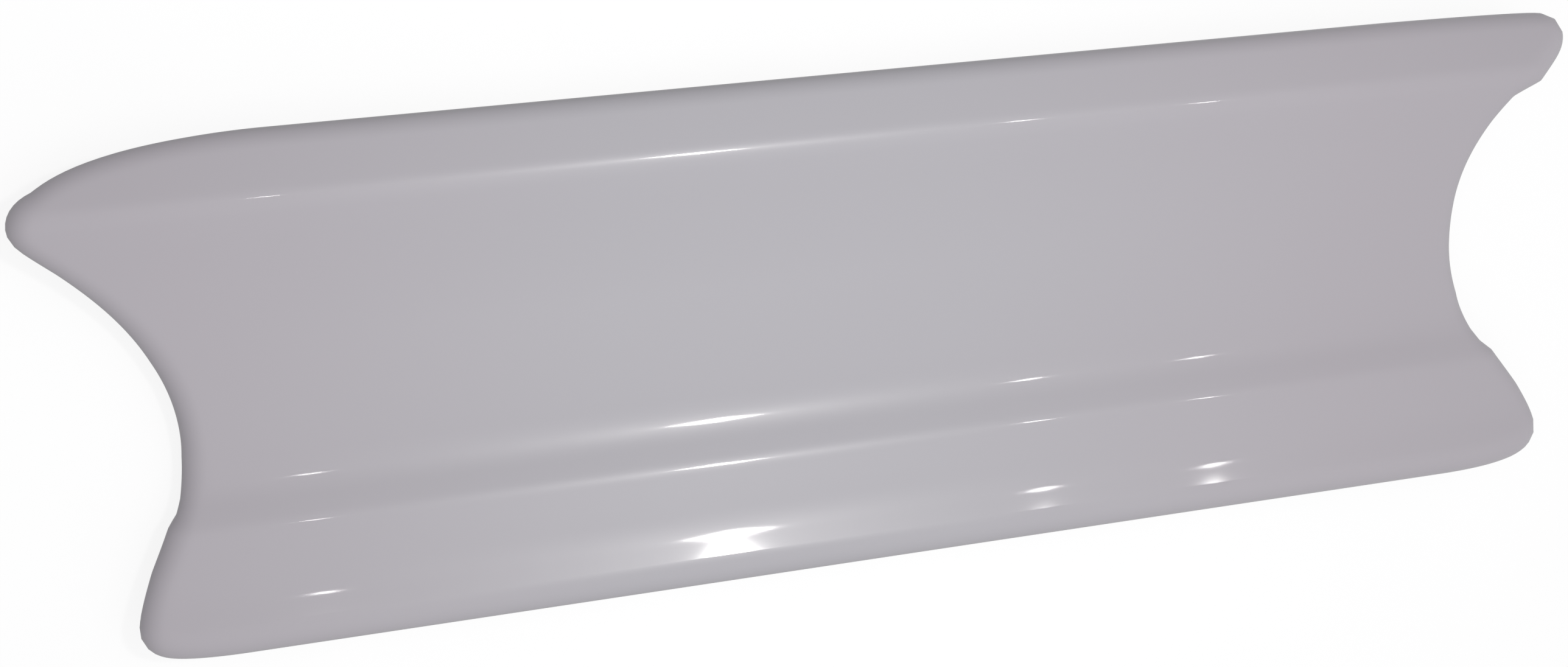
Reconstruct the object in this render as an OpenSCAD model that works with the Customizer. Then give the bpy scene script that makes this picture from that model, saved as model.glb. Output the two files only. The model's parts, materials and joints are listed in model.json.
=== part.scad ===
// Moulded diving board: a glossy glass-fibre deck with a dished top and hollowed ends,
// over a timber core, closed underneath and bolted to its stand from below.
// X runs along the board, +Y is the back rim, +Z is up. Z = 0 is the resting plane.

/* [Board] */
// Length over the tips of the back horns
board_l = 1830; // [1780:10:1960]
// Width of the deck between the lines where its edges start to roll
deck_w = 514; // [480:2:560]
// Radius of the rolled edge
edge_r = 30; // [26:1:34]
// Thickness of the moulded skin
skin_t = 5; // [3.5:0.5:6]

/* [Ends] */
// How far the left front horn stops short of the back horn
front_setback_left = 68; // [40:1:90]
// How far the right front horn stops short of the back horn
front_setback_right = 45; // [30:1:80]
// Depth of the hollow at the left end
hollow_left = 134; // [110:1:145]
// Depth of the hollow at the right end
hollow_right = 142; // [110:1:150]
// Distance of the left back horn's tip in from the back edge line
tip_in_left = 69; // [45:1:80]
// Distance of the right back horn's tip in from the back edge line
tip_in_right = 5; // [4:1:20]

/* [Deck section] */
// Height of the trough floor over the skirt's lower edge
floor_h = 48; // [46:1:60]
// Rise of the back crest over the trough floor
crest_rise = 62; // [50:1:72]
// Drop from the crest to the start of the back roll
crest_drop = 18; // [10:1:22]
// Distance of the back crest from the start of the back roll
crest_in = 55; // [45:1:60]
// Rise of the ridge over the trough floor
ridge_rise = 22; // [16:1:28]
// Rise of the front channel over the ridge
channel_rise = 7; // [2:1:12]
// Distance of the front channel from the start of the front roll
channel_in = 34; // [22:1:38]
// Rise of the front rim over the channel
front_rise = 10; // [4:1:14]

/* [Core] */
// Thickness of the under panel
panel_t = 4; // [3:0.5:5]
// Width of the timber core under the trough
core_w = 300; // [270:5:310]
// Distance of the core's ends from the bottoms of the hollows
core_short = 45; // [35:1:60]
// Thickness of the rim stringers
stringer_t = 34; // [28:1:36]
// Glue line round every core piece
glue_gap = 0.4; // [0.3:0.05:0.6]
// Thickness of the rim gussets
gusset_t = 15; // [12:1:18]
// Spacing of the rim gussets
gusset_pitch = 200; // [180:5:230]

/* [Mountings] */
// Thickness of the rubber pads
pad_t = 10; // [8:1:14]
// Distance of the anchor's centre from the board's middle, towards the left end
anchor_x = 600; // [560:5:620]
// Anchor bolt spacing along the board
anchor_dx = 100; // [80:5:110]
// Anchor bolt spacing across the board
anchor_dy = 200; // [180:5:210]
// Radius of the clearance holes for the anchor bolts
bolt_r = 6.5; // [5.5:0.5:7]
// Thickness of the steel plates
plate_t = 5; // [4:0.5:6]
// Distance of the fulcrum from the middle of the board, towards the right end
fulcrum_x = 0; // [-40:5:100]
// Width of the fulcrum pad along the board
fulcrum_w = 120; // [90:5:150]

/* [Hidden] */

// Levels, from the resting plane up
trim_z = pad_t + plate_t;
panel_z = trim_z + panel_t;
core_z = panel_z + glue_gap;
floor_z = trim_z + floor_h;

// Plan: the edge line is where the deck starts to roll down
back_y = deck_w / 2;
front_y = -back_y;
tip_x = board_l / 2 - edge_r;

// Deck section from back to front: [y, height, half width of the bend there]
crest_y = back_y - crest_in;
slope_y = 0.405 * back_y;
foot_y = -0.399 * back_y;
ridge_y = -0.593 * back_y;
channel_y = front_y + channel_in;
crest_z = floor_z + crest_rise;
ridge_z = floor_z + ridge_rise;
channel_z = ridge_z + channel_rise;
corners = [
    [back_y, crest_z - crest_drop, 0],
    [crest_y, crest_z, 14],
    [slope_y, floor_z + 0.34 * crest_rise, 55],
    [foot_y, floor_z, 25],
    [ridge_y, ridge_z, 8],
    [channel_y, channel_z, 16],
    [front_y, channel_z + front_rise, 0]
];
last_corner = len(corners) - 1;
slopes = [for (i = [0 : last_corner - 1])
    (corners[i + 1][1] - corners[i][1]) / (corners[i + 1][0] - corners[i][0])];
bends = [for (i = [1 : last_corner - 1]) slopes[i] - slopes[i - 1]];

// Core: the planks lie between the rims, the stringers under the back crest and the front channel
core_back = core_w / 2;
core_front = -core_back;
core_left = core_short + hollow_left - tip_x;
core_right = tip_x - hollow_right - core_short;
plank_n = 3;
plank_w = (core_w - (plank_n - 1) * glue_gap) / plank_n;
stringer_back_y = crest_y;
stringer_front_y = (ridge_y + front_y) / 2;
horn_x = tip_x - 130;
edge_clear = 2;

// Hardware: M12 nuts, wood screws
nut_h = 10;
nut_flats = 18;
nut_bore_r = bolt_r - 0.5;
nut_room = 5;
top_plate_z = floor_z - skin_t - nut_room - nut_h - plate_t;
plate_margin = 30;
corner_r = 12;
pad_inset = 5;
sleeve_r = bolt_r + 2.5;
screw_gap = 0.3;
plate_screw_r = 2.25;
plate_screw_l = 30;
panel_screw_r = 1.75;
panel_screw_l = 20;
fulcrum_l = 340;
fulcrum_margin = 16;
vent_r = 5;
bead_w = 4;
bead_gap = 0.3;

// Height over a bend: nothing before it, a parabola across it, straight after it
function ramp(u, w) = u < -w ? 0 : u > w ? u : (u + w) * (u + w) / (4 * w);
function ramp_rate(u, w) = u < -w ? 0 : u > w ? 1 : (u + w) / (2 * w);
function total(values) = values * [for (v = values) 1];
function deck_z(y) = corners[0][1] + slopes[0] * (y - back_y)
    - total([for (i = [0 : len(bends) - 1]) bends[i] * ramp(corners[i + 1][0] - y, corners[i + 1][2])]);
function deck_slope(y) = slopes[0]
    + total([for (i = [0 : len(bends) - 1]) bends[i] * ramp_rate(corners[i + 1][0] - y, corners[i + 1][2])]);
// Underside of the skin
function skin_under(y) = deck_z(y) - skin_t * sqrt(1 + deck_slope(y) * deck_slope(y));

// One end's outline, as Bezier curves from the straight back edge round to the straight front edge.
// tip and front are the horns' furthest points and waist is the bottom of the hollow.
function end_curves(start, tip, waist, front, stop, pull) = [
    [start, start + [pull[0], 0], tip + [0, pull[1]], tip],
    [tip, tip - [0, pull[2]], waist + [0, pull[3]], waist],
    [waist, waist - [0, pull[4]], front + [0, pull[5]], front],
    [front, front - [0, pull[6]], stop + [pull[7], 0], stop]
];

right_end = end_curves([tip_x - 192, back_y], [tip_x, back_y - tip_in_right],
    [tip_x - hollow_right, -4], [tip_x - front_setback_right, front_y + 18],
    [tip_x - front_setback_right - 107, front_y], [50, 3, 21, 168, 118, 39, 16, 33]);
left_end = end_curves([tip_x - 233, back_y], [tip_x, back_y - tip_in_left],
    [tip_x - hollow_left, -49], [tip_x - front_setback_left, front_y + 9],
    [tip_x - front_setback_left - 83, front_y], [62, 61, 19, 144, 92, 35, 6, 42]);

function bezier(p, t) = pow(1 - t, 3) * p[0] + 3 * pow(1 - t, 2) * t * p[1]
    + 3 * (1 - t) * t * t * p[2] + pow(t, 3) * p[3];
// Every curve runs from back to front, so its point at a given y is found by halving
function bezier_x(p, y, low = 0, high = 1, steps = 22) =
    let (mid = (low + high) / 2, at = bezier(p, mid))
    steps == 0 ? at[0] :
    at[1] > y ? bezier_x(p, y, mid, high, steps - 1) : bezier_x(p, y, low, mid, steps - 1);
function end_x(curves, y) =
    y >= curves[0][0][1] ? curves[0][0][0] :
    y <= curves[3][3][1] ? curves[3][3][0] :
    bezier_x(curves[y > curves[0][3][1] ? 0 : y > curves[1][3][1] ? 1 : y > curves[2][3][1] ? 2 : 3], y);

// Rows across the board, close together where the horns round off
horn_rows = 9;
mid_rows = 76;
horn_span = 12;
function horn_step(i) = horn_span * (1 - cos(90 * i / horn_rows));
rows = concat(
    [for (i = [0 : horn_rows - 1]) back_y - horn_step(i)],
    [for (i = [0 : mid_rows]) (back_y - horn_span) * (1 - 2 * i / mid_rows)],
    [for (i = [horn_rows - 1 : -1 : 0]) front_y + horn_step(i)]
);
last_row = len(rows) - 1;
ring_n = 2 * (last_row + 1);

// The edge line all round: down the right end, then back up the left end
edge_line = concat(
    [for (y = rows) [end_x(right_end, y), y]],
    [for (j = [last_row : -1 : 0]) [-end_x(left_end, rows[j]), rows[j]]]
);
function unit(v) = v / norm(v);
function outward(i) =
    let (step = unit(edge_line[(i + 1) % ring_n] - edge_line[(i + ring_n - 1) % ring_n]))
    [-step[1], step[0]];
edge_out = [for (i = [0 : ring_n - 1]) outward(i)];
// Angle at which the deck meets the edge line, rising outwards
edge_tilt = [for (i = [0 : ring_n - 1]) atan(deck_slope(edge_line[i][1]) * edge_out[i][1])];

// A point of the roll: k runs from 0 at the edge line to 1 where the skirt hangs straight down
function rolled(i, k, r) =
    let (tilt = edge_tilt[i], turn = k * (90 + tilt), away = edge_r * sin(tilt) + r * sin(turn - tilt))
    [edge_line[i][0] + edge_out[i][0] * away, edge_line[i][1] + edge_out[i][1] * away,
        deck_z(edge_line[i][1]) - edge_r * cos(tilt) + r * cos(turn - tilt)];
function skirt_foot(i, r) = let (p = rolled(i, 1, r)) [p[0], p[1], trim_z];

roll_steps = 6;
function skin_rings(r) = concat(
    [for (k = [0 : roll_steps], i = [0 : ring_n - 1]) rolled(i, k / roll_steps, r)],
    [for (i = [0 : ring_n - 1]) skirt_foot(i, r)]
);
ring_count = roll_steps + 2;
function ring_faces(first, flip) = [
    for (k = [0 : ring_count - 2], i = [0 : ring_n - 1])
        let (a = first + k * ring_n + i, b = first + k * ring_n + (i + 1) % ring_n)
        flip ? [a + ring_n, b + ring_n, b, a] : [a, b, b + ring_n, a + ring_n]
];
function deck_faces(first, flip) = [
    for (j = [0 : last_row - 1])
        let (a = first + j, b = first + ring_n - 1 - j)
        flip ? [a, a + 1, b - 1, b] : [b, b - 1, a + 1, a]
];

module deck_shell() {
    inner = ring_count * ring_n;
    foot = (ring_count - 1) * ring_n;
    rim = [for (i = [0 : ring_n - 1])
        let (a = foot + i, b = foot + (i + 1) % ring_n) [b, a, a + inner, b + inner]];
    color("gainsboro") polyhedron(
        points = concat(skin_rings(edge_r), skin_rings(edge_r - skin_t)),
        faces = concat(deck_faces(0, true), ring_faces(0, true), rim,
            deck_faces(inner, false), ring_faces(inner, false)),
        convexity = 6);
}

// Flat outlines: one parallel to the edge line, one inside the skirt
function edge_offset(away) = [for (i = [0 : ring_n - 1]) edge_line[i] + edge_out[i] * away];
skirt_inside = [for (i = [0 : ring_n - 1]) let (p = rolled(i, 1, edge_r - skin_t)) [p[0], p[1]]];
function inside_skirt(gap) = [for (i = [0 : ring_n - 1]) skirt_inside[i] - edge_out[i] * gap];

// Long prism along X whose top follows the underside of the skin
section_step = 4;
module under_skin(y_low, y_high, x_low, x_high, bottom = core_z) {
    n = ceil((y_high - y_low) / section_step);
    top = [for (i = [n : -1 : 0]) let (y = y_low + (y_high - y_low) * i / n) [y, skin_under(y) - glue_gap]];
    translate([x_low, 0, 0]) rotate([90, 0, 90]) linear_extrude(x_high - x_low)
        polygon(concat([[y_low, bottom], [y_high, bottom]], top));
}

// The same prism, kept inside the edge line
module under_deck(y_low, y_high, x_low, x_high) {
    intersection() {
        under_skin(y_low, y_high, x_low, x_high);
        linear_extrude(crest_z) polygon(edge_offset(-edge_clear));
    }
}

// Rectangle with round corners
module rounded_plate(l, w, t) {
    linear_extrude(t) {
        square([l - 2 * corner_r, w], center = true);
        square([l, w - 2 * corner_r], center = true);
        for (x = [-1, 1], y = [-1, 1])
            translate([x * (l / 2 - corner_r), y * (w / 2 - corner_r)]) circle(corner_r, $fn = 48);
    }
}

// Countersunk screw, or with a gap the hole for it. The head's face is at z = 0.
module countersunk(r, l, gap = 0) {
    cylinder(r1 = 2 * r + gap, r2 = r + gap, h = r, $fn = 32);
    cylinder(r = r + gap, h = l + gap, $fn = 32);
}

module at_anchor_bolts() {
    for (x = [-1, 1], y = [-1, 1])
        translate([x * anchor_dx / 2 - anchor_x, y * anchor_dy / 2, 0]) children();
}
module at_plate_screws() {
    for (x = [-1, 1], y = [-1 : 1])
        translate([fulcrum_x + x * (fulcrum_w + fulcrum_margin) / 2, y * (core_w / 2 - 20), pad_t])
            children();
}
module at_panel_screws() {
    for (x = [-3.5 : 3.5], y = [stringer_back_y, stringer_front_y])
        translate([x * gusset_pitch, y, trim_z]) children();
    for (x = [core_left - core_short / 2, core_right + core_short / 2], y = [-core_w / 4, core_w / 4])
        translate([x, y, trim_z]) children();
}

vent_at = [1.5 * gusset_pitch, (core_back + stringer_back_y - stringer_t / 2) / 2, trim_z];
// The vent's bore, which also clears the timber beside it when the core is wide
module vent_bore() {
    translate(vent_at - [0, 0, 1]) cylinder(r = vent_r + screw_gap, h = panel_z, $fn = 32);
}

module under_panel() {
    color("silver") difference() {
        translate([0, 0, trim_z]) linear_extrude(panel_t) polygon(inside_skirt(bead_w));
        at_anchor_bolts() cylinder(r = sleeve_r + glue_gap, h = 2 * panel_z, $fn = 48);
        at_panel_screws() countersunk(panel_screw_r, panel_screw_l, screw_gap);
        at_plate_screws() cylinder(r = plate_screw_r + screw_gap, h = panel_z, $fn = 32);
        vent_bore();
    }
}

module sealant_bead() {
    color("whitesmoke") translate([0, 0, trim_z]) linear_extrude(panel_t) difference() {
        polygon(inside_skirt(bead_gap));
        polygon(inside_skirt(bead_w - bead_gap));
    }
}

// Planks count from the front
module core_plank(i) {
    y = core_front + i * (plank_w + glue_gap);
    color("burlywood") difference() {
        under_skin(y, y + plank_w, core_left, core_right);
        at_anchor_bolts() cylinder(r = sleeve_r + glue_gap, h = crest_z, $fn = 48);
        at_plate_screws() cylinder(r = plate_screw_r + screw_gap, h = plate_screw_l + screw_gap, $fn = 32);
        translate([-anchor_x, 0, top_plate_z + crest_z / 2])
            cube([anchor_dx + 2 * plate_margin + 2 * glue_gap, anchor_dy + 2 * plate_margin + 2 * glue_gap,
                crest_z], center = true);
        vent_bore();
    }
}
module core_plank_back() core_plank(2);
module core_plank_middle() core_plank(1);
module core_plank_front() core_plank(0);

module rim_stringer(y) {
    color("tan") difference() {
        under_skin(y - stringer_t / 2, y + stringer_t / 2, -horn_x, horn_x);
        at_panel_screws() countersunk(panel_screw_r, panel_screw_l, screw_gap);
        vent_bore();
    }
}
module rim_stringer_back() rim_stringer(stringer_back_y);
module rim_stringer_front() rim_stringer(stringer_front_y);

// Webs between planks and stringers, and between stringers and the rolled edges
module rim_gussets() {
    bays = [
        [core_back, stringer_back_y - stringer_t / 2],
        [stringer_back_y + stringer_t / 2, back_y - edge_clear],
        [stringer_front_y + stringer_t / 2, core_front],
        [front_y + edge_clear, stringer_front_y - stringer_t / 2]
    ];
    color("wheat") for (x = [-3 : 3], bay = bays)
        under_skin(bay[0] + glue_gap, bay[1] - glue_gap,
            x * gusset_pitch - gusset_t / 2, x * gusset_pitch + gusset_t / 2);
}

module end_block_left() {
    color("burlywood") difference() {
        under_deck(core_front, core_back, -board_l / 2, core_left - glue_gap);
        at_panel_screws() countersunk(panel_screw_r, panel_screw_l, screw_gap);
    }
}
module end_block_right() {
    color("burlywood") difference() {
        under_deck(core_front, core_back, core_right + glue_gap, board_l / 2);
        at_panel_screws() countersunk(panel_screw_r, panel_screw_l, screw_gap);
    }
}

module horn_foam() {
    color("khaki") for (x = [-board_l / 2, horn_x + glue_gap]) {
        x_high = x + board_l / 2 - horn_x - glue_gap;
        under_deck(core_back + glue_gap, back_y - edge_clear, x, x_high);
        under_deck(front_y + edge_clear, core_front - glue_gap, x, x_high);
    }
}

module anchor_plate(z, inset = 0, t = plate_t) {
    difference() {
        translate([-anchor_x, 0, z])
            rounded_plate(anchor_dx + 2 * (plate_margin - inset), anchor_dy + 2 * (plate_margin - inset), t);
        at_anchor_bolts() cylinder(r = bolt_r, h = 2 * crest_z, center = true, $fn = 48);
    }
}
module anchor_top_plate() color("slategray") anchor_plate(top_plate_z);
module anchor_bottom_plate() color("lightsteelblue") anchor_plate(pad_t);
module anchor_pad() color("dimgray") anchor_plate(0, pad_inset, pad_t);

module anchor_sleeves() {
    color("slategray") at_anchor_bolts() translate([0, 0, trim_z]) difference() {
        cylinder(r = sleeve_r, h = top_plate_z - trim_z, $fn = 48);
        translate([0, 0, -1]) cylinder(r = bolt_r, h = crest_z, $fn = 48);
    }
}
module anchor_nuts() {
    color("silver") at_anchor_bolts() translate([0, 0, top_plate_z + plate_t]) difference() {
        cylinder(r = nut_flats / 2 / cos(30), h = nut_h, $fn = 6);
        translate([0, 0, -1]) cylinder(r = nut_bore_r, h = nut_h + 2, $fn = 48);
    }
}

module fulcrum_plate() {
    color("lightsteelblue") difference() {
        translate([fulcrum_x, 0, pad_t])
            rounded_plate(fulcrum_w + 2 * fulcrum_margin, fulcrum_l + 2 * fulcrum_margin, plate_t);
        at_plate_screws() countersunk(plate_screw_r, plate_screw_l, screw_gap);
    }
}
module fulcrum_pad() {
    color("dimgray") translate([fulcrum_x, 0, 0]) rounded_plate(fulcrum_w, fulcrum_l, pad_t);
}
module plate_screws() color("silver") at_plate_screws() countersunk(plate_screw_r, plate_screw_l);
module panel_screws() color("silver") at_panel_screws() countersunk(panel_screw_r, panel_screw_l);

module vent_plug() {
    color("whitesmoke") translate(vent_at) {
        translate([0, 0, -3]) cylinder(r = vent_r + 4, h = 3, $fn = 48);
        cylinder(r = vent_r, h = panel_t + 3, $fn = 32);
    }
}

deck_shell();
under_panel();
sealant_bead();
core_plank_back();
core_plank_middle();
core_plank_front();
rim_stringer_back();
rim_stringer_front();
rim_gussets();
end_block_left();
end_block_right();
horn_foam();
anchor_top_plate();
anchor_bottom_plate();
anchor_sleeves();
anchor_nuts();
anchor_pad();
fulcrum_plate();
fulcrum_pad();
plate_screws();
panel_screws();
vent_plug();
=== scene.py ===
# Looks for a moulded diving board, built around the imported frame.
# Metres: X along the board, +Y towards the high rim, +Z up, rest plane at z = 0.
import json
import math

import bpy
import bmesh
import numpy as np
from mathutils import Matrix, Vector


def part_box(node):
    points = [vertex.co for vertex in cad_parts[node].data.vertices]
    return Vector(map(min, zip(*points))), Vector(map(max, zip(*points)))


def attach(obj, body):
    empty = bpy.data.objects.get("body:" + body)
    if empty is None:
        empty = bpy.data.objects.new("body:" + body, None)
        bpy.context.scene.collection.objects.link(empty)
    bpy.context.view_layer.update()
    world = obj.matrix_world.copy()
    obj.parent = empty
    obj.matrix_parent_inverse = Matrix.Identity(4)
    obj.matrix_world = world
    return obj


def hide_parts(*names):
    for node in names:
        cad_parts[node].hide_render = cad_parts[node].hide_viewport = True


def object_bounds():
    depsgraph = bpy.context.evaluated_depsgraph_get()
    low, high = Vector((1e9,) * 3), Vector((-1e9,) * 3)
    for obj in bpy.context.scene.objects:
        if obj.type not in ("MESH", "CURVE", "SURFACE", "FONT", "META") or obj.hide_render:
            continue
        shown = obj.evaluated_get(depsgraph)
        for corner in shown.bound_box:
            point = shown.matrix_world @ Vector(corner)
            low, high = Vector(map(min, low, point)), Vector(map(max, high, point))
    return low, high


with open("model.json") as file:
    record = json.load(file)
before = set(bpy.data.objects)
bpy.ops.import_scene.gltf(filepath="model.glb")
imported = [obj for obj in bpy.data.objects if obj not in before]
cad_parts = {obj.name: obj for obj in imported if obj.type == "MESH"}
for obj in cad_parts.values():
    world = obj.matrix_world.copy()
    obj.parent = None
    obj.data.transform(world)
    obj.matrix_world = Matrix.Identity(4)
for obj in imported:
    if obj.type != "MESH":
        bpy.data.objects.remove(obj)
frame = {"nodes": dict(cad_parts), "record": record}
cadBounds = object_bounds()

nodes = frame["nodes"]
mm = 0.001
print("frame loaded:", len(nodes), "nodes")


def makePiece(name, points, faces, finish, replaced=(), smooth=True):
    mesh = bpy.data.meshes.new(name)
    mesh.from_pydata([tuple(p) for p in points], [], [tuple(int(i) for i in f) for f in faces])
    mesh.validate()
    return placePiece(name, mesh, finish, replaced, smooth)


def placePiece(name, mesh, finish, replaced=(), smooth=True):
    piece = bpy.data.objects.new(name, mesh)
    bpy.context.scene.collection.objects.link(piece)
    mesh.polygons.foreach_set("use_smooth", [smooth] * len(mesh.polygons))
    mesh.materials.clear()
    mesh.materials.append(finish)
    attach(piece, "root")
    if replaced:
        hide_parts(*replaced)
    return piece


def nodeMesh(node):
    # a welded copy of a CAD node's mesh, for pieces that only need softer edges
    made = bmesh.new()
    made.from_mesh(nodes[node].data)
    bmesh.ops.remove_doubles(made, verts=made.verts, dist=1e-6)
    flat = [e for e in made.edges if len(e.link_faces) == 2 and e.calc_face_angle(1) < math.radians(0.5)]
    bmesh.ops.dissolve_edges(made, edges=flat, use_verts=True)
    return made


def islands(node):
    # the boxes of a node's separate solids
    made = nodeMesh(node)
    left, found = set(made.verts), []
    while left:
        heap = [left.pop()]
        group = list(heap)
        while heap:
            for edge in heap.pop().link_edges:
                for vert in edge.verts:
                    if vert in left:
                        left.remove(vert)
                        heap.append(vert)
                        group.append(vert)
        places = np.array([v.co for v in group])
        found.append((Vector(places.min(0)), Vector(places.max(0))))
    made.free()
    return sorted(found, key=lambda pair: (round(pair[0].x, 4), round(pair[0].y, 4)))


def applied(piece):
    # the piece's modifiers worked into its mesh
    graph = bpy.context.evaluated_depsgraph_get()
    mesh = bpy.data.meshes.new_from_object(piece.evaluated_get(graph))
    piece.modifiers.clear()
    piece.data = mesh
    return piece


def cutBy(piece, cutterMesh):
    # boolean difference, with the cutter thrown away after
    cutter = bpy.data.objects.new("cutter", cutterMesh)
    bpy.context.scene.collection.objects.link(cutter)
    cut = piece.modifiers.new("cut", "BOOLEAN")
    cut.operation, cut.object, cut.solver = "DIFFERENCE", cutter, "EXACT"
    bpy.context.view_layer.update()
    applied(piece)
    bpy.data.objects.remove(cutter)
    return piece


def softened(node, name, width, finish, segments=2):
    # a CAD node with its sharp edges rounded over
    mesh = bpy.data.meshes.new(name)
    made = nodeMesh(node)
    made.to_mesh(mesh)
    made.free()
    piece = placePiece(name, mesh, finish, (node,))
    bevel = piece.modifiers.new("edges", "BEVEL")
    bevel.width, bevel.segments, bevel.limit_method = width, segments, "ANGLE"
    bevel.angle_limit = math.radians(35)
    bevel.harden_normals = True
    return applied(piece)


def lathe(profile, turns=48):
    # points and faces of a profile of (radius, height) pairs turned about Z, closed at both ends
    points = [(r * math.cos(a), r * math.sin(a), z)
              for r, z in profile for a in np.linspace(0, 2 * math.pi, turns, endpoint=False)]
    faces = [(row * turns + i, row * turns + (i + 1) % turns,
              (row + 1) * turns + (i + 1) % turns, (row + 1) * turns + i)
             for row in range(len(profile) - 1) for i in range(turns)]
    faces.append(tuple(range(turns))[::-1])
    faces.append(tuple(range((len(profile) - 1) * turns, len(profile) * turns)))
    return points, faces


def repeated(points, faces, places):
    # one mesh made of copies at each place
    points = np.array(points)
    every = [points + np.array(p) for p in places]
    return np.vstack(every), [[i + n * len(points) for i in f] for n in range(len(places)) for f in faces]


class Wire:
    # a value on its way through a node tree
    def __init__(self, nodeTree, socket):
        self.nodeTree, self.socket = nodeTree, socket

    def maths(self, operation, first, second):
        return self.nodeTree.node("ShaderNodeMath", {"operation": operation}, {0: first, 1: second})

    def __add__(self, other):
        return self.maths("ADD", self, other)

    def __radd__(self, other):
        return self.maths("ADD", other, self)

    def __mul__(self, other):
        return self.maths("MULTIPLY", self, other)

    def __rmul__(self, other):
        return self.maths("MULTIPLY", other, self)


class NodeTree:
    def __init__(self, tree):
        self.tree = tree

    def node(self, kind, settings=None, values=None, out=0):
        made = self.tree.nodes.new(kind)
        for key, value in (settings or {}).items():
            setattr(made, key, value)
        for key, value in (values or {}).items():
            self.feed(made.inputs[key], value)
        return Wire(self, made.outputs[out])

    def feed(self, socket, value):
        if isinstance(value, Wire):
            self.tree.links.new(value.socket, socket)
        else:
            socket.default_value = value

    def mixed(self, factor, first, second):
        return self.node("ShaderNodeMix", {"data_type": "RGBA"}, {0: factor, 6: first, 7: second}, 2)


class Finish(NodeTree):
    def __init__(self, name, **constants):
        self.material = bpy.data.materials.new(name)
        self.material.use_nodes = True
        super().__init__(self.material.node_tree)
        self.shader = self.tree.nodes["Principled BSDF"]
        self.place = self.node("ShaderNodeTexCoord", out="Object")
        for key, value in constants.items():
            self.shader.inputs[key.replace("_", " ")].default_value = value

    def paint(self, name, value):
        self.feed(self.shader.inputs[name], value)

    def stretched(self, x=1.0, y=1.0, z=1.0):
        return self.node("ShaderNodeMapping", None, {"Vector": self.place, "Scale": (x, y, z)})

    def noise(self, scale, detail=3.0, rough=0.55, at=None):
        return self.node("ShaderNodeTexNoise", None, {"Vector": at or self.place, "Scale": scale,
                                                      "Detail": detail, "Roughness": rough})

    def cells(self, scale, out="Distance"):
        return self.node("ShaderNodeTexVoronoi", None, {"Vector": self.place, "Scale": scale}, out)

    def span(self, value, low, high, toLow=0.0, toHigh=1.0):
        # value stretched from low..high to toLow..toHigh, held at both ends
        return self.node("ShaderNodeMapRange", None,
                         {"Value": value, "From Min": low, "From Max": high,
                          "To Min": toLow, "To Max": toHigh})

    def part(self, axis):
        # one of X, Y and Z of the place on the board
        return self.node("ShaderNodeSeparateXYZ", None, {0: self.place}, axis)

    def bumps(self, height, depth):
        bumped = self.node("ShaderNodeBump", None, {"Height": height, "Distance": depth, "Strength": 1.0})
        self.paint("Normal", bumped)


def rgb(r, g, b):
    return (r, g, b, 1.0)


gelcoat = {
    # ends and middle: base colours carrying painted light, the middle painted lighter and greener as if lit more
    "ends": rgb(0.575, 0.541, 0.583), "middle": rgb(0.578, 0.563, 0.600), "dust": rgb(0.42, 0.40, 0.37),
    "roughness": 0.33, "coatRoughness": 0.06, "peelDepth": 0.00002,
    "paintedLightShift": 0.08, "paintedLightSpan": (0.35, 0.85),     # metres along the board
    "grimeSpan": (0.018, 0.034),                     # metres up from the floor
}


def gelcoatFinish():
    f = Finish("glossy gelcoat", Coat_Weight=1.0, Coat_IOR=1.5,
               Coat_Roughness=gelcoat["coatRoughness"], IOR=1.5)
    # painted light: the middle is painted lighter and greener than the ends, as if lit more there, and fine dust sits
    # in it
    along = f.node("ShaderNodeMath", {"operation": "ABSOLUTE"}, {0: f.part("X") + gelcoat["paintedLightShift"]})
    drift = f.span(along + 0.3 * f.noise(2.2, 2.0, at=f.stretched(0.6, 1.4, 1.0)), *gelcoat["paintedLightSpan"])
    paintedLightTint = f.mixed(drift, gelcoat["middle"], gelcoat["ends"])
    dust = f.span(f.noise(420, 2.0), 0.68, 0.8, 0.0, 0.07)
    # grime creeps up from the trimmed edge
    grime = f.span(f.part("Z") + 0.012 * f.noise(38, 4.0), *gelcoat["grimeSpan"], 0.35, 0.0)
    colour = f.mixed(dust + grime * f.noise(90, 3.0), paintedLightTint, gelcoat["dust"])
    f.paint("Base Color", colour)
    # fine scuffs along the deck, and a duller film near the trimmed edge
    scuffs = f.span(f.noise(1.0, 6.0, 0.7, f.stretched(14, 420, 420)), 0.62, 0.78, 0.0, 0.08)
    f.paint("Roughness", gelcoat["roughness"] + scuffs + 0.3 * grime)
    f.bumps(f.noise(300, 2.0) + 6 * f.noise(26, 1.0), gelcoat["peelDepth"])
    return f.material


def laminateFinish():
    # rolled chopped strand mat under a thin flow coat, its strands crossing in two directions
    f = Finish("strand mat laminate", Coat_Weight=0.35, Coat_Roughness=0.25)
    drift = f.node("ShaderNodeTexNoise", None, {"Vector": f.place, "Scale": 45.0}, "Color")
    drift = f.node("ShaderNodeVectorMath", {"operation": "SCALE"}, {0: drift, "Scale": 0.02})
    warp = f.node("ShaderNodeVectorMath", {"operation": "ADD"}, {0: f.place, 1: drift})

    def lay(degrees, scale, low, high):
        turned = f.node("ShaderNodeMapping", None,
                        {"Vector": warp, "Rotation": (0, 0, math.radians(degrees)), "Scale": scale})
        return f.span(f.noise(1.0, 3.0, 0.6, turned), low, high)

    strands = lay(52, (18, 190, 18), 0.42, 0.62) + lay(-35, (20, 170, 20), 0.45, 0.65)
    cloud = f.noise(7, 4.0)
    base = f.mixed(f.span(cloud, 0.3, 0.7), rgb(0.47, 0.46, 0.40), rgb(0.56, 0.55, 0.50))
    f.paint("Base Color", f.mixed(0.22 * strands, base, rgb(0.70, 0.70, 0.64)))
    f.paint("Roughness", 0.42 + 0.16 * f.noise(60, 3.0))
    f.bumps(strands + 1.5 * f.noise(30, 3.0), 0.00035)
    return f.material


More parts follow.
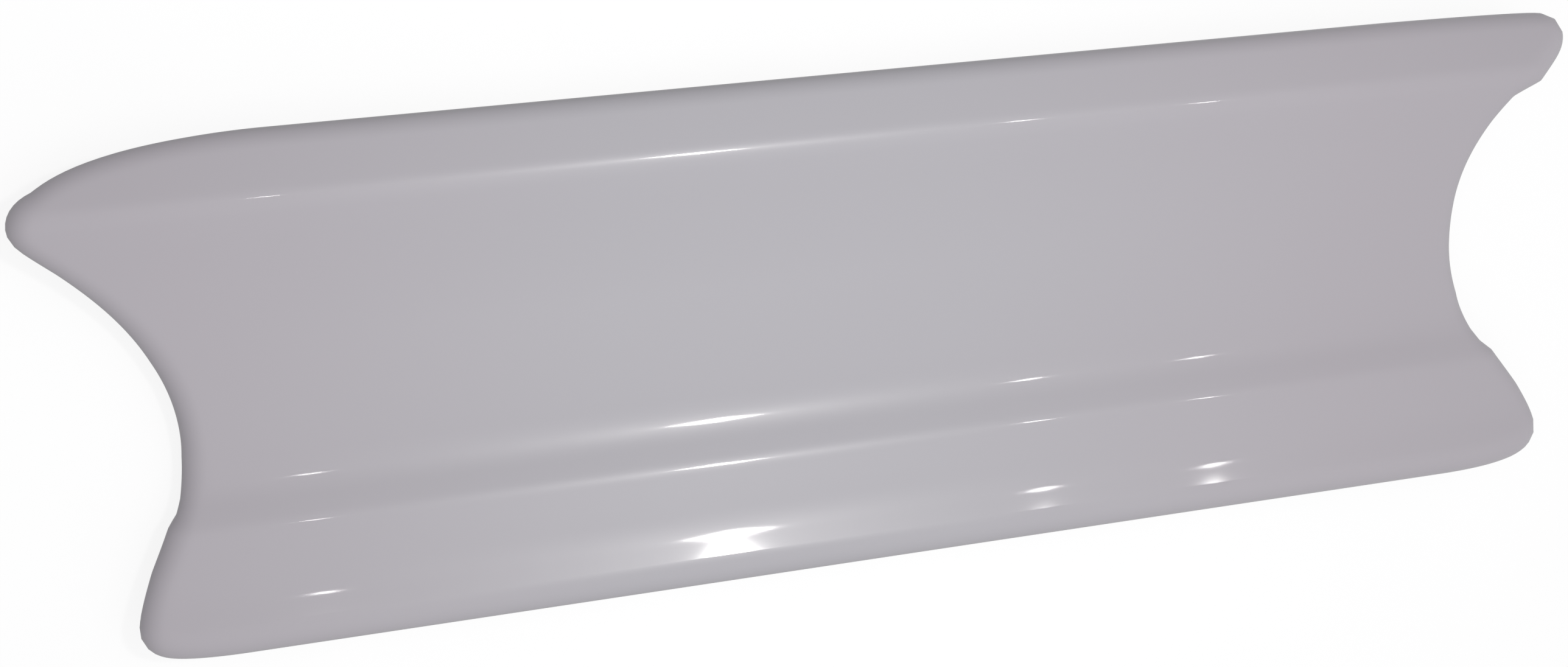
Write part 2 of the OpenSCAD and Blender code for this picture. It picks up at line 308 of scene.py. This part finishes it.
def sealantFinish():
    f = Finish("tooled sealant", Specular_IOR_Level=0.4)
    f.paint("Base Color", f.mixed(f.span(f.noise(60, 4.0), 0.35, 0.75),
                                  rgb(0.62, 0.62, 0.60), rgb(0.48, 0.46, 0.42)))
    f.paint("Roughness", 0.38 + 0.2 * f.noise(150, 2.0))
    f.bumps(f.noise(170, 3.0), 0.0003)
    return f.material


def woodFinish(name, early, late, scale):
    # growth rings seen along the plank, which drift and pinch
    f = Finish(name)
    wander = 0.35 * f.noise(2.6, 2.0, at=f.stretched(0.35, 1, 1))
    across = f.part("Y") * scale + f.part("Z") * scale * 0.6 + wander * 6
    rings = f.node("ShaderNodeMath", {"operation": "PINGPONG"}, {0: across, 1: 1.0})
    rings = f.node("ShaderNodeMath", {"operation": "POWER"}, {0: rings, 1: 2.2})
    pores = f.span(f.noise(1.0, 5.0, 0.65, f.stretched(26, 900, 900)), 0.5, 0.72)
    f.paint("Base Color", f.mixed(0.7 * rings + 0.3 * pores, early, late))
    f.paint("Roughness", 0.62 + 0.2 * pores)
    f.bumps(pores + rings, 0.0002)
    return f.material


def plywoodFinish():
    f = Finish("plywood")
    plies = f.node("ShaderNodeMath", {"operation": "PINGPONG"}, {0: f.part("X") * 420, 1: 1.0})
    fleck = f.span(f.noise(1.0, 4.0, 0.6, f.stretched(500, 60, 22)), 0.45, 0.7)
    f.paint("Base Color", f.mixed(0.5 * plies + 0.4 * fleck, rgb(0.60, 0.44, 0.26), rgb(0.38, 0.24, 0.12)))
    f.paint("Roughness", 0.66 + 0.15 * fleck)
    f.bumps(fleck, 0.0002)
    return f.material


def foamFinish():
    f = Finish("poured foam")
    bubbles = f.cells(340)
    f.paint("Base Color", f.mixed(f.span(bubbles, 0.1, 0.6), rgb(0.55, 0.42, 0.20), rgb(0.74, 0.63, 0.38)))
    f.paint("Roughness", 0.75 + 0.15 * f.noise(40))
    f.bumps(bubbles + 0.5 * f.cells(900), 0.0006)
    return f.material


def galvanisedFinish(name, bright, dull):
    # zinc crystals, each with its own shade and sheen
    f = Finish(name, Metallic=1.0)
    flakes = f.cells(95, out="Color")
    shade = f.node("ShaderNodeSeparateColor", None, {0: flakes}, 0)
    tired = f.span(f.noise(16, 4.0), 0.45, 0.7)
    metal = f.mixed(shade, bright, dull)
    f.paint("Base Color", f.mixed(0.35 * tired, metal, rgb(0.52, 0.52, 0.50)))
    f.paint("Roughness", 0.32 + 0.16 * shade + 0.2 * tired)
    f.bumps(shade + 0.6 * f.noise(240, 2.0), 0.00004)
    return f.material


def stainlessFinish():
    f = Finish("stainless screws", Metallic=1.0)
    turned = f.noise(900, 2.0)
    f.paint("Base Color", f.mixed(turned, rgb(0.62, 0.61, 0.60), rgb(0.48, 0.47, 0.46)))
    f.paint("Roughness", 0.24 + 0.2 * turned)
    f.bumps(turned, 0.00003)
    return f.material


def rubberFinish():
    f = Finish("moulded rubber", Specular_IOR_Level=0.35)
    bloom = f.span(f.noise(22, 5.0), 0.45, 0.75)
    f.paint("Base Color", f.mixed(bloom, rgb(0.018, 0.018, 0.019), rgb(0.055, 0.054, 0.052)))
    f.paint("Roughness", 0.58 + 0.22 * bloom)
    f.bumps(f.noise(650, 3.0), 0.0001)
    return f.material


def plugFinish():
    f = Finish("vent plug plastic")
    f.paint("Base Color", f.mixed(f.noise(120), rgb(0.66, 0.66, 0.65), rgb(0.56, 0.56, 0.54)))
    f.paint("Roughness", 0.36 + 0.12 * f.noise(400))
    f.bumps(f.noise(700, 2.0), 0.00004)
    return f.material


finishes = {
    "gelcoat": gelcoatFinish(),
    "laminate": laminateFinish(),
    "sealant": sealantFinish(),
    "softwood": woodFinish("softwood planks", rgb(0.62, 0.43, 0.23), rgb(0.40, 0.23, 0.10), 55),
    "plywood": plywoodFinish(),
    "foam": foamFinish(),
    "plate_steel": galvanisedFinish("galvanised plate", rgb(0.66, 0.67, 0.69), rgb(0.46, 0.47, 0.49)),
    "inner_steel": galvanisedFinish("galvanised hardware", rgb(0.54, 0.54, 0.54), rgb(0.38, 0.38, 0.39)),
    "screw_steel": stainlessFinish(),
    "pad_rubber": rubberFinish(),
    "plug_plastic": plugFinish(),
}
slotOf = {entry["node"]: entry["material_slot"] for entry in frame["record"]["subparts"]}
for nodeName, node in nodes.items():
    node.data.materials.clear()
    node.data.materials.append(finishes[slotOf[nodeName]])
print("finishes made:", len(finishes))


# the same driving sizes as the CAD deck, in millimetres
deck = {
    "length": 1830, "width": 514, "roll": 30, "skin": 5, "trim": 15, "floor": 63,
    "crest": (55, 62, 14), "crestDrop": 18,          # in from the edge, rise over the floor, half bend
    "slope": (0.405, 0.34, 55),                      # share of the half width, share of the rise, half bend
    "foot": (-0.399, 25), "ridge": (-0.593, 22, 8),  # share of the half width, rise over the floor, half bend
    "channel": (34, 7, 16), "rimRise": 10,           # in from the edge, rise over the ridge, half bend
    "rowsAcross": 150, "hornRows": 26, "hornSpan": 12, "columns": 110, "rollSteps": 12, "skirtSteps": 5,
    "endCrowding": 0.55, "edgeSoft": 0.9,            # how far the columns crowd to the ends; eased trim edge
    "hornRoot": 780,                                 # where the horns start to be drawn in
    "shy": 0.1, "leanOut": (0.9, 1.35),              # how far the top and the two ends keep inside the CAD's box
    "waviness": 0.35, "waveFade": (25, 30),          # depth; height and length over which it comes in
    "waves": ((0.6, 7.1, 2.0, 1.3), (0.4, 15.7, -6.0, -0.8)),   # share, turns along and across, phase
}
backY = deck["width"] / 2
frontY = -backY
tipX = deck["length"] / 2 - deck["roll"]
floorZ = deck["floor"]
crestZ = floorZ + deck["crest"][1]
ridgeZ = floorZ + deck["ridge"][1]
channelZ = ridgeZ + deck["channel"][1]
corners = np.array([
    (backY, crestZ - deck["crestDrop"], 0),
    (backY - deck["crest"][0], crestZ, deck["crest"][2]),
    (deck["slope"][0] * backY, floorZ + deck["slope"][1] * deck["crest"][1], deck["slope"][2]),
    (deck["foot"][0] * backY, floorZ, deck["foot"][1]),
    (deck["ridge"][0] * backY, ridgeZ, deck["ridge"][2]),
    (frontY + deck["channel"][0], channelZ, deck["channel"][2]),
    (frontY, channelZ + deck["rimRise"], 0),
])
slopes = np.diff(corners[:, 1]) / np.diff(corners[:, 0])


def deckHeight(y):
    # height and slope of the deck across the board, with a parabola at each bend
    height = corners[0][1] + slopes[0] * (y - backY)
    slope = np.full_like(y, slopes[0])
    for (cornerY, _, half), bend in zip(corners[1:-1], np.diff(slopes)):
        u = cornerY - y
        eased = (u + half) ** 2 / (4 * half)
        height = height - bend * np.where(u < -half, 0, np.where(u > half, u, eased))
        slope = slope + bend * np.where(u < -half, 0, np.where(u > half, 1, (u + half) / (2 * half)))
    return height, slope


def endCurves(start, tip, waist, front, stop, pull):
    # start, back horn, bottom of the hollow, front horn and stop, with the pulls of the curves between
    start, tip, waist, front, stop = (np.array(p, float) for p in (start, tip, waist, front, stop))
    across, along = np.array([0.0, 1.0]), np.array([1.0, 0.0])
    return [
        (start, start + pull[0] * along, tip + pull[1] * across, tip),
        (tip, tip - pull[2] * across, waist + pull[3] * across, waist),
        (waist, waist - pull[4] * across, front + pull[5] * across, front),
        (front, front - pull[6] * across, stop + pull[7] * along, stop),
    ]


rightEnd = endCurves((tipX - 192, backY), (tipX, backY - 5), (tipX - 142, -4), (tipX - 45, frontY + 18),
                     (tipX - 152, frontY), (50, 3, 21, 168, 118, 39, 16, 33))
leftEnd = endCurves((tipX - 233, backY), (tipX, backY - 69), (tipX - 134, -49), (tipX - 68, frontY + 9),
                    (tipX - 151, frontY), (62, 61, 19, 144, 92, 35, 6, 42))


def endX(curves, ys, tip):
    # x of an end's outline at each y, read off closely spaced points of its curves
    t = np.linspace(0, 1, 4001)[:, None]
    line = np.vstack([(1 - t) ** 3 * a + 3 * (1 - t) ** 2 * t * b + 3 * (1 - t) * t * t * c + t ** 3 * d
                      for a, b, c, d in curves])
    x = np.interp(-ys, -line[:, 1], line[:, 0])
    # a fine outline reaches further than the CAD's facets, so the horns are drawn in to their length
    root = deck["hornRoot"]
    return np.where(x > root, root + (x - root) * min(1, (tip - root) / (x.max() - root)), x)


def deckRows():
    n, m, span = deck["hornRows"], deck["rowsAcross"], deck["hornSpan"]
    close = span * (1 - np.cos(np.linspace(0, math.pi / 2, n + 1)))[:-1]
    middle = np.linspace(backY - span, frontY + span, m + 1)
    return np.concatenate([backY - close, middle, (frontY + close)[::-1]])


def deckOutline():
    # the edge line all round, one point for each border vertex of the deck grid
    rows, n = deckRows(), deck["columns"]
    share = np.linspace(0, 1, n + 1)
    # closer together near the ends
    share = share - deck["endCrowding"] * np.sin(2 * math.pi * share) / (2 * math.pi)
    # the roll leans out by a little just inside each tip
    leftTip, rightTip = (abs(corner[0]) / mm - deck["roll"] - lean
                         for corner, lean in zip(cadBounds, deck["leanOut"]))
    right, left = endX(rightEnd, rows, rightTip), -endX(leftEnd, rows, leftTip)
    grid = np.array([[(l + (r - l) * s, y) for s in share] for l, r, y in zip(left, right, rows)])
    last = len(rows) - 1
    border = ([(j, n) for j in range(last + 1)] + [(last, i) for i in range(n - 1, 0, -1)]
              + [(j, 0) for j in range(last, -1, -1)] + [(0, i) for i in range(1, n)])
    line = np.array([grid[j, i] for j, i in border])
    step = np.roll(line, -1, 0) - np.roll(line, 1, 0)
    step /= np.linalg.norm(step, axis=1)[:, None]
    return grid, border, line, np.c_[-step[:, 1], step[:, 0]]


deckGrid, deckBorder, edgeLine, edgeOut = deckOutline()
edgeHeight, edgeSlope = deckHeight(edgeLine[:, 1])
edgeTilt = np.arctan(edgeSlope * edgeOut[:, 1])


def rolledRing(k, r):
    # k runs from 0 at the edge line to 1 where the skirt hangs straight down
    turn = k * (math.pi / 2 + edgeTilt)
    away = deck["roll"] * np.sin(edgeTilt) + r * np.sin(turn - edgeTilt)
    z = edgeHeight - deck["roll"] * np.cos(edgeTilt) + r * np.cos(turn - edgeTilt)
    return np.c_[edgeLine + edgeOut * away[:, None], z]


def skirtRing(r, z, inset=0.0):
    ring = rolledRing(1, r)
    ring[:, :2] -= edgeOut * inset
    ring[:, 2] = z
    return ring


def mouldWaves(points):
    # hand-laid moulds are never quite true: the top sinks by a fraction of a millimetre here and there
    x, y = points[:, 0] * mm, points[:, 1] * mm
    waves = sum(part * np.sin(along * x + across * y + phase) for part, along, across, phase in deck["waves"])
    sunk = points.copy()
    fadeZ, fadeLength = deck["waveFade"]
    reach = np.clip((points[:, 2] - fadeZ) / fadeLength, 0, 1)
    sunk[:, 2] -= reach * (deck["shy"] + deck["waviness"] * (0.5 + 0.5 * waves))
    return sunk


def skinSurface(r):
    # deck grid, roll and skirt of one side of the skin: outer with the full roll, inner with less
    tall, wide = deckGrid.shape[:2]
    flat = deckGrid.reshape(-1, 2)
    height, slope = deckHeight(flat[:, 1])
    gap = deck["roll"] - r
    lean = np.sqrt(1 + slope ** 2)
    # the inner side lies square to the deck, so its points also step across the board
    shifted = np.c_[flat[:, 0], flat[:, 1] + gap * slope / lean, height - gap / lean]
    index = {place: n for n, place in enumerate((j, i) for j in range(tall) for i in range(wide))}
    edge = np.array([index[place] for place in deckBorder])
    shifted[edge] = rolledRing(0, r)
    faces = [(index[j, i], index[j + 1, i], index[j + 1, i + 1], index[j, i + 1])
             for j in range(tall - 1) for i in range(wide - 1)]
    points, ring = [shifted], edge
    count = len(shifted)
    foot = deck["trim"] + deck["edgeSoft"]
    rings = [rolledRing(k / deck["rollSteps"], r) for k in range(1, deck["rollSteps"] + 1)]
    for k in range(1, deck["skirtSteps"] + 1):
        fall = rolledRing(1, r)
        fall[:, 2] += (foot - fall[:, 2]) * k / deck["skirtSteps"]
        rings.append(fall)
    for made in rings:
        nextRing = count + np.arange(len(made))
        faces += [(ring[i - 1], ring[i], nextRing[i], nextRing[i - 1]) for i in range(len(made))]
        points.append(made)
        ring, count = nextRing, count + len(made)
    return np.vstack(points), faces, ring


def buildDeckSkin():
    outerR, innerR, soft = deck["roll"], deck["roll"] - deck["skin"], deck["edgeSoft"]
    outer, outerFaces, outerFoot = skinSurface(outerR)
    inner, innerFaces, innerFoot = skinSurface(innerR)
    points = [mouldWaves(outer), inner]
    innerFoot = innerFoot + len(outer)
    count = len(outer) + len(inner)
    faces = outerFaces + [tuple(i + len(outer) for i in f[::-1]) for f in innerFaces]
    # the trimmed edge, eased on both sides
    ring = outerFoot
    for r, inset in ((outerR, 0.3 * soft), (outerR, soft), (innerR, -soft), (innerR, -0.3 * soft)):
        z = deck["trim"] + (0.3 * soft if abs(inset) < soft else 0)
        points.append(skirtRing(r, z, inset))
        nextRing = count + np.arange(len(edgeLine))
        faces += [(ring[i - 1], ring[i], nextRing[i], nextRing[i - 1]) for i in range(len(edgeLine))]
        ring, count = nextRing, count + len(edgeLine)
    faces += [(ring[i - 1], ring[i], innerFoot[i], innerFoot[i - 1]) for i in range(len(edgeLine))]
    return makePiece("deckSkin", np.vstack(points) * mm, faces, finishes["gelcoat"], ("deck_shell",))


deckSkin = buildDeckSkin()
print("deck skin:", len(deckSkin.data.vertices), "points")


sealant = {
    # a tooled hollow: distance in from the skirt and height in millimetres, and whether it sways and heaves
    "section": ((0.1, 18.9, 0, 0), (0.1, 15.5, 0, 0), (0.7, 15.9, 0, 1), (1.9, 16.3, 0, 1), (3.0, 15.9, 0, 1),
                (3.7, 15.2, 0, 1), (4.3, 14.7, 1, 1), (5.1, 14.9, 1, 1), (3.9, 15.0, 0, 0), (3.9, 18.9, 0, 0)),
    "wander": 0.35, "heave": 0.3,
    "ripples": ((0.5, 61, 0), (0.3, 143, 1), (0.2, 257, 0)),    # share, ripples all round, phase
}


def buildSealant():
    skirt = rolledRing(1, deck["roll"] - deck["skin"])
    around = np.cumsum(np.linalg.norm(np.diff(skirt[:, :2], axis=0, append=skirt[:1, :2]), axis=1))
    turns = 2 * math.pi * around / around[-1]
    wobble = sealant["wander"] * sum(part * np.sin(count * turns + phase)
                                     for part, count, phase in sealant["ripples"])
    points = [np.c_[skirt[:, :2] - edgeOut * (inset + sway * wobble)[:, None], z + rise * sealant["heave"] * wobble]
              for inset, z, sway, rise in sealant["section"]]
    count, rows = len(skirt), len(points)
    faces = [(k * count + (i - 1) % count, k * count + i,
              (k + 1) % rows * count + i, (k + 1) % rows * count + (i - 1) % count)
             for k in range(rows) for i in range(count)]
    return makePiece("sealantFillet", np.vstack(points) * mm, faces, finishes["sealant"],
                     ("sealant_bead",))


buildSealant()
print("sealant made")


screwHead = {"armLength": 0.62, "armWidth": 0.17, "depth": 0.55, "taper": 0.4}    # shares of its radius
screwShank = {"pitch": 0.9, "groove": 0.78, "flank": 0.28, "threaded": 0.8, "pointFrom": 0.86, "point": 0.12}


def buildScrews(name, node):
    # countersunk heads with a cross recess, tapered points and a coarse thread
    places = islands(node)
    low, high = places[0]
    headR, length = (high.x - low.x) / 2, high.z - low.z
    shaftR = headR / 2
    grooveR = shaftR * screwShank["groove"]
    profile = [(headR * 0.97, 0), (headR, 0.06 * headR), (shaftR, shaftR)]
    pitch = shaftR * screwShank["pitch"]
    flank = screwShank["flank"] * pitch
    for n in range(int((length * screwShank["threaded"] - shaftR) / pitch)):
        z = shaftR + (n + 0.5) * pitch
        profile += [(grooveR, z - flank), (shaftR, z), (grooveR, z + flank)]
    profile += [(shaftR * 0.7, length * screwShank["pointFrom"]), (shaftR * screwShank["point"], length)]
    points, faces = lathe(profile, 32)
    one = makePiece(name, points, faces, finishes["screw_steel"], (node,))
    arm, half = screwHead["armLength"] * headR, screwHead["armWidth"] * headR
    cross = [(arm, -half), (arm, half), (half, half), (half, arm), (-half, arm), (-half, half),
             (-arm, half), (-arm, -half), (-half, -half), (-half, -arm), (half, -arm), (half, -half)]
    depth, over = screwHead["depth"] * headR, 0.1 * headR
    recess = [(x, y, -over) for x, y in cross]
    recess += [(x * screwHead["taper"], y * screwHead["taper"], depth) for x, y in cross]
    sides = [(i, (i + 1) % 12, 12 + (i + 1) % 12, 12 + i) for i in range(12)]
    mesh = bpy.data.meshes.new("recess")
    mesh.from_pydata(recess, [], sides + [tuple(range(12))[::-1], tuple(range(12, 24))])
    cutBy(one, mesh)
    points = [tuple(v.co) for v in one.data.vertices]
    faces = [tuple(p.vertices) for p in one.data.polygons]
    centres = [((a.x + b.x) / 2, (a.y + b.y) / 2, a.z) for a, b in places]
    points, faces = repeated(points, faces, centres)
    mesh = bpy.data.meshes.new(name)
    mesh.from_pydata([tuple(p) for p in points], [], faces)
    mesh.materials.append(finishes["screw_steel"])
    one.data = mesh
    return one


plateScrews = buildScrews("plateScrews", "plate_screws")
panelScrews = buildScrews("panelScrews", "panel_screws")

plug = {"dome": 0.0011, "lip": 0.0006, "headTop": 0.003, "rim": 0.004,
        "slotWidth": 0.0016, "slotLength": 0.011, "slotDepth": 0.0012, "slotTurn": 0.6}


def buildVentPlug():
    low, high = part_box("vent_plug")
    headR, tall = (high.x - low.x) / 2, high.z - low.z
    headZ, stemR = plug["headTop"], headR - plug["rim"]
    profile = [(headR * 0.35, 0), (headR * 0.7, plug["dome"] * 0.35), (headR * 0.93, plug["dome"]),
               (headR, plug["dome"] + plug["lip"]), (headR, headZ), (stemR, headZ),
               (stemR, tall * 0.75), (stemR * 0.96, tall * 0.8), (stemR * 0.8, tall)]
    points, faces = lathe(profile, 64)
    centre = Vector(((low.x + high.x) / 2, (low.y + high.y) / 2, low.z))
    points = [Vector(p) + centre for p in points]
    piece = makePiece("ventPlug", points, faces, finishes["plug_plastic"], ("vent_plug",))
    slotBox = bmesh.new()
    bmesh.ops.create_cube(slotBox, size=1)
    size = Matrix.Diagonal((plug["slotLength"], plug["slotWidth"], 2 * plug["slotDepth"], 1))
    bmesh.ops.transform(slotBox, matrix=Matrix.Translation(centre) @ Matrix.Rotation(plug["slotTurn"], 4, "Z") @ size,
                        verts=slotBox.verts)
    mesh = bpy.data.meshes.new("slot")
    slotBox.to_mesh(mesh)
    slotBox.free()
    return cutBy(piece, mesh)


ventPlug = buildVentPlug()

padGrooves = {"pitch": 0.012, "radius": 0.0018, "margin": 0.008, "edge": 0.0012}


def buildPad(node, name):
    # rubber pad with half-round grooves across its underside
    piece = softened(node, name, padGrooves["edge"], finishes["pad_rubber"], 3)
    low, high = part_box(node)
    along = high.x - low.x - 2 * padGrooves["margin"]
    count = int(along / padGrooves["pitch"])
    start = (low.x + high.x) / 2 - (count - 1) * padGrooves["pitch"] / 2
    bars = bmesh.new()
    for n in range(count):
        place = Matrix.Translation(((start + n * padGrooves["pitch"]), (low.y + high.y) / 2, low.z))
        bmesh.ops.create_cone(bars, cap_ends=True, segments=16, radius1=padGrooves["radius"],
                              radius2=padGrooves["radius"], depth=high.y - low.y + 0.02,
                              matrix=place @ Matrix.Rotation(math.pi / 2, 4, "X"))
    mesh = bpy.data.meshes.new("bars")
    bars.to_mesh(mesh)
    bars.free()
    return cutBy(piece, mesh)


anchorPad = buildPad("anchor_pad", "anchorPad")
fulcrumPad = buildPad("fulcrum_pad", "fulcrumPad")
plateEdge = {"anchor": 0.0006, "fulcrum": 0.0005}
anchorPlate = softened("anchor_bottom_plate", "anchorPlate", plateEdge["anchor"],
                       finishes["plate_steel"])
fulcrumPlate = softened("fulcrum_plate", "fulcrumPlate", plateEdge["fulcrum"],
                        finishes["plate_steel"])
for piece in (anchorPad, fulcrumPad, anchorPlate, fulcrumPlate, plateScrews, panelScrews, ventPlug):
    piece.data.shade_smooth()
    piece.data.set_sharp_from_angle(angle=math.radians(32))
print("hardware made")


view = {"target": (-0.0962, -0.0160, 0.0553), "distance": 2.0353, "azimuth": -11.48, "elevation": 8.75,
        "roll": -5.21, "lens": 39.94, "sensor": 36.0}


def buildCamera():
    azimuth, elevation, roll = (math.radians(view[k]) for k in ("azimuth", "elevation", "roll"))
    back = Vector((math.sin(azimuth) * math.cos(elevation), math.sin(elevation),
                   math.cos(azimuth) * math.cos(elevation)))
    up = Vector((0, 1, 0))
    up = (up - back * up.dot(back)).normalized()
    right = up.cross(back)
    turnedRight = right * math.cos(roll) + up * math.sin(roll)
    turnedUp = up * math.cos(roll) - right * math.sin(roll)
    lens = bpy.data.cameras.new("camera")
    lens.lens, lens.sensor_width, lens.sensor_fit = view["lens"], view["sensor"], "HORIZONTAL"
    lens.clip_start, lens.clip_end = 0.05, 50
    camera = bpy.data.objects.new("camera", lens)
    bpy.context.scene.collection.objects.link(camera)
    camera.matrix_world = Matrix((turnedRight, turnedUp, back)).transposed().to_4x4()
    camera.location = Vector(view["target"]) + back * view["distance"]
    bpy.context.scene.camera = camera
    return camera


camera = buildCamera()
print("camera placed")

stageSet = {
    "floorSize": 14.0, "floorDrop": 0.0002, "floorGlow": 0.82,
    "floorShade": rgb(0.24, 0.24, 0.24), "floorDrift": rgb(0.26, 0.26, 0.26),
    "skyLevel": 0.435, "skyLean": (0.11, -0.10, 0.10),     # how the sky brightens along +X, +Y and up
    "lampShade": (1.0, 0.985, 0.97), "skyLow": rgb(0.30, 0.298, 0.305), "skyHigh": rgb(0.80, 0.795, 0.81),
}


def buildFloor():
    # seen by the camera only, so that it doesn't light the rolled edges from below
    half = stageSet["floorSize"] / 2
    mesh = bpy.data.meshes.new("floor")
    z = cadBounds[0][2] - stageSet["floorDrop"]
    mesh.from_pydata([(-half, -half, z), (half, -half, z), (half, half, z), (-half, half, z)], [], [(0, 1, 2, 3)])
    floor = bpy.data.objects.new("floor", mesh)
    bpy.context.scene.collection.objects.link(floor)
    f = Finish("pale floor", Roughness=0.9, Specular_IOR_Level=0.0, Emission_Strength=stageSet["floorGlow"])
    f.paint("Base Color", f.mixed(f.noise(3.0), stageSet["floorShade"], stageSet["floorDrift"]))
    f.paint("Emission Color", rgb(1, 1, 1))
    mesh.materials.append(f.material)
    floor.visible_diffuse = floor.visible_glossy = floor.visible_shadow = False


def buildSky():
    # a soft tent of light, a little brighter overhead and towards the front right
    sky = bpy.data.worlds.new("studio")
    sky.use_nodes = True
    tent = NodeTree(sky.node_tree)
    low, high = stageSet["skyLow"], stageSet["skyHigh"]
    lean = tent.node("ShaderNodeVectorMath", {"operation": "DOT_PRODUCT"},
                     {0: tent.node("ShaderNodeTexCoord", out="Generated"), 1: stageSet["skyLean"]}, "Value")
    share = (lean + (stageSet["skyLevel"] - low[0])) * (1 / (high[0] - low[0]))
    tent.feed(sky.node_tree.nodes["Background"].inputs["Color"], tent.mixed(share, low, high))
    bpy.context.scene.world = sky


# each lamp: where along the board its image falls, how far up it hangs, its width and depth, its glow
lamps = {
    "lampA": (-0.190, 2.4, 0.16, 0.14, 150),
    "lampB": (0.190, 2.4, 0.075, 0.05, 40),
    "lampC": (0.415, 2.4, 0.075, 0.04, 36),
    "lampD": (-0.650, 2.4, 0.05, 0.04, 36),
}
lampedHeight = 0.09             # height of the deck where the lamps are set from
mirrorTilt = math.radians(9)    # how far the bends lean back where they catch the lamps


def buildLamp(name, x, distance, width, depth, glow):
    spot = Vector((x, 0, lampedHeight))
    normal = Vector((0, math.sin(mirrorTilt), math.cos(mirrorTilt)))
    toCamera = (camera.location - spot).normalized()
    toLamp = 2 * normal.dot(toCamera) * normal - toCamera
    shape = bpy.data.lights.new(name, "AREA")
    shape.shape, shape.size, shape.size_y = "RECTANGLE", width, depth
    shape.energy = glow * math.pi * width * depth
    shape.color = stageSet["lampShade"]
    lamp = bpy.data.objects.new(name, shape)
    lamp.location = spot + toLamp * distance
    lamp.rotation_euler = (-toLamp).to_track_quat("-Z", "Y").to_euler()
    bpy.context.scene.collection.objects.link(lamp)


softKey = {"place": (-0.15, 0.0, 1.5), "size": 0.9, "energy": 2.8, "shade": (0.95, 1.0, 0.985)}


def buildSoftLight(name, place, size, energy, shade):
    # wide light that shapes the board but doesn't mirror in its gloss
    shape = bpy.data.lights.new(name, "AREA")
    shape.shape, shape.size, shape.energy, shape.color = "SQUARE", size, energy, shade
    lamp = bpy.data.objects.new(name, shape)
    lamp.location = place
    lamp.rotation_euler = (-Vector(place)).to_track_quat("-Z", "Y").to_euler()
    lamp.visible_glossy = False
    bpy.context.scene.collection.objects.link(lamp)


buildFloor()
buildSky()
for name, (x, distance, width, depth, glow) in lamps.items():
    buildLamp(name, x, distance, width, depth, glow)
buildSoftLight("softKey", **softKey)
bpy.context.scene.view_settings.view_transform = "Standard"
print("stage set")
